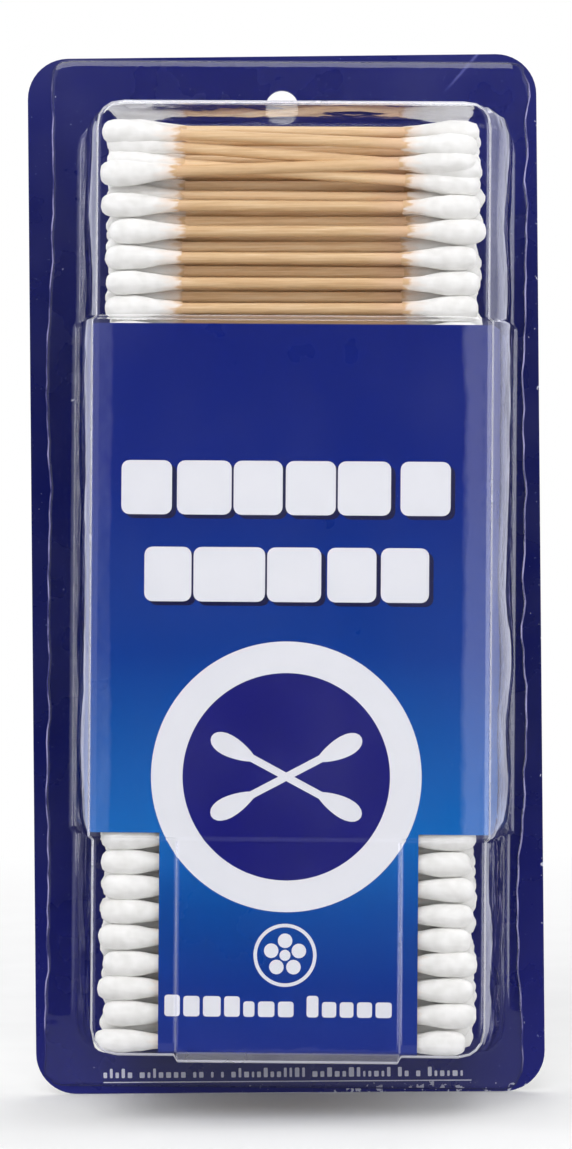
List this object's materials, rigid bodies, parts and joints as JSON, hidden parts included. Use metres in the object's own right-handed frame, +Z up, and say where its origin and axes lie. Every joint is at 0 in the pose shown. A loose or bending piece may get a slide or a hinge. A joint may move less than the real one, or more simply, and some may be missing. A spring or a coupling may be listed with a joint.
{
  "type": "cotton swab box",
  "caption": "Hanging card with a clear formed blister that holds a stack of wooden-stick cotton swabs behind a folded printed insert.",
  "frame": {"origin": "middle of the hang hole on the back face of the card", "axes": "+Z up as the pack hangs, +X to the right seen from the front, the front faces -Y"},
  "size_m": [0.108, 0.0447, 0.22],
  "materials": {
    "card": "glossy printed navy",
    "film": "clear thermoformed plastic film",
    "insert": "glossy printed blue",
    "stick": "plain birch",
    "cotton": "wound cotton"
  },
  "bodies": {
    "root": {"backing_card": "card", "blister": "film", "front_insert": "insert", "swab_sticks_01": "stick", "left_cotton_tips_01": "cotton", "right_cotton_tips_01": "cotton", "swab_sticks_02": "stick", "left_cotton_tips_02": "cotton", "right_cotton_tips_02": "cotton", "swab_sticks_03": "stick", "left_cotton_tips_03": "cotton", "right_cotton_tips_03": "cotton", "swab_sticks_04": "stick", "left_cotton_tips_04": "cotton", "right_cotton_tips_04": "cotton", "swab_sticks_05": "stick", "left_cotton_tips_05": "cotton", "right_cotton_tips_05": "cotton", "swab_sticks_06": "stick", "left_cotton_tips_06": "cotton", "right_cotton_tips_06": "cotton", "swab_sticks_07": "stick", "left_cotton_tips_07": "cotton", "right_cotton_tips_07": "cotton", "swab_sticks_08": "stick", "left_cotton_tips_08": "cotton", "right_cotton_tips_08": "cotton", "swab_sticks_09": "stick", "left_cotton_tips_09": "cotton", "right_cotton_tips_09": "cotton", "swab_sticks_10": "stick", "left_cotton_tips_10": "cotton", "right_cotton_tips_10": "cotton", "swab_sticks_11": "stick", "left_cotton_tips_11": "cotton", "right_cotton_tips_11": "cotton"}
  },
  "joints": []
}
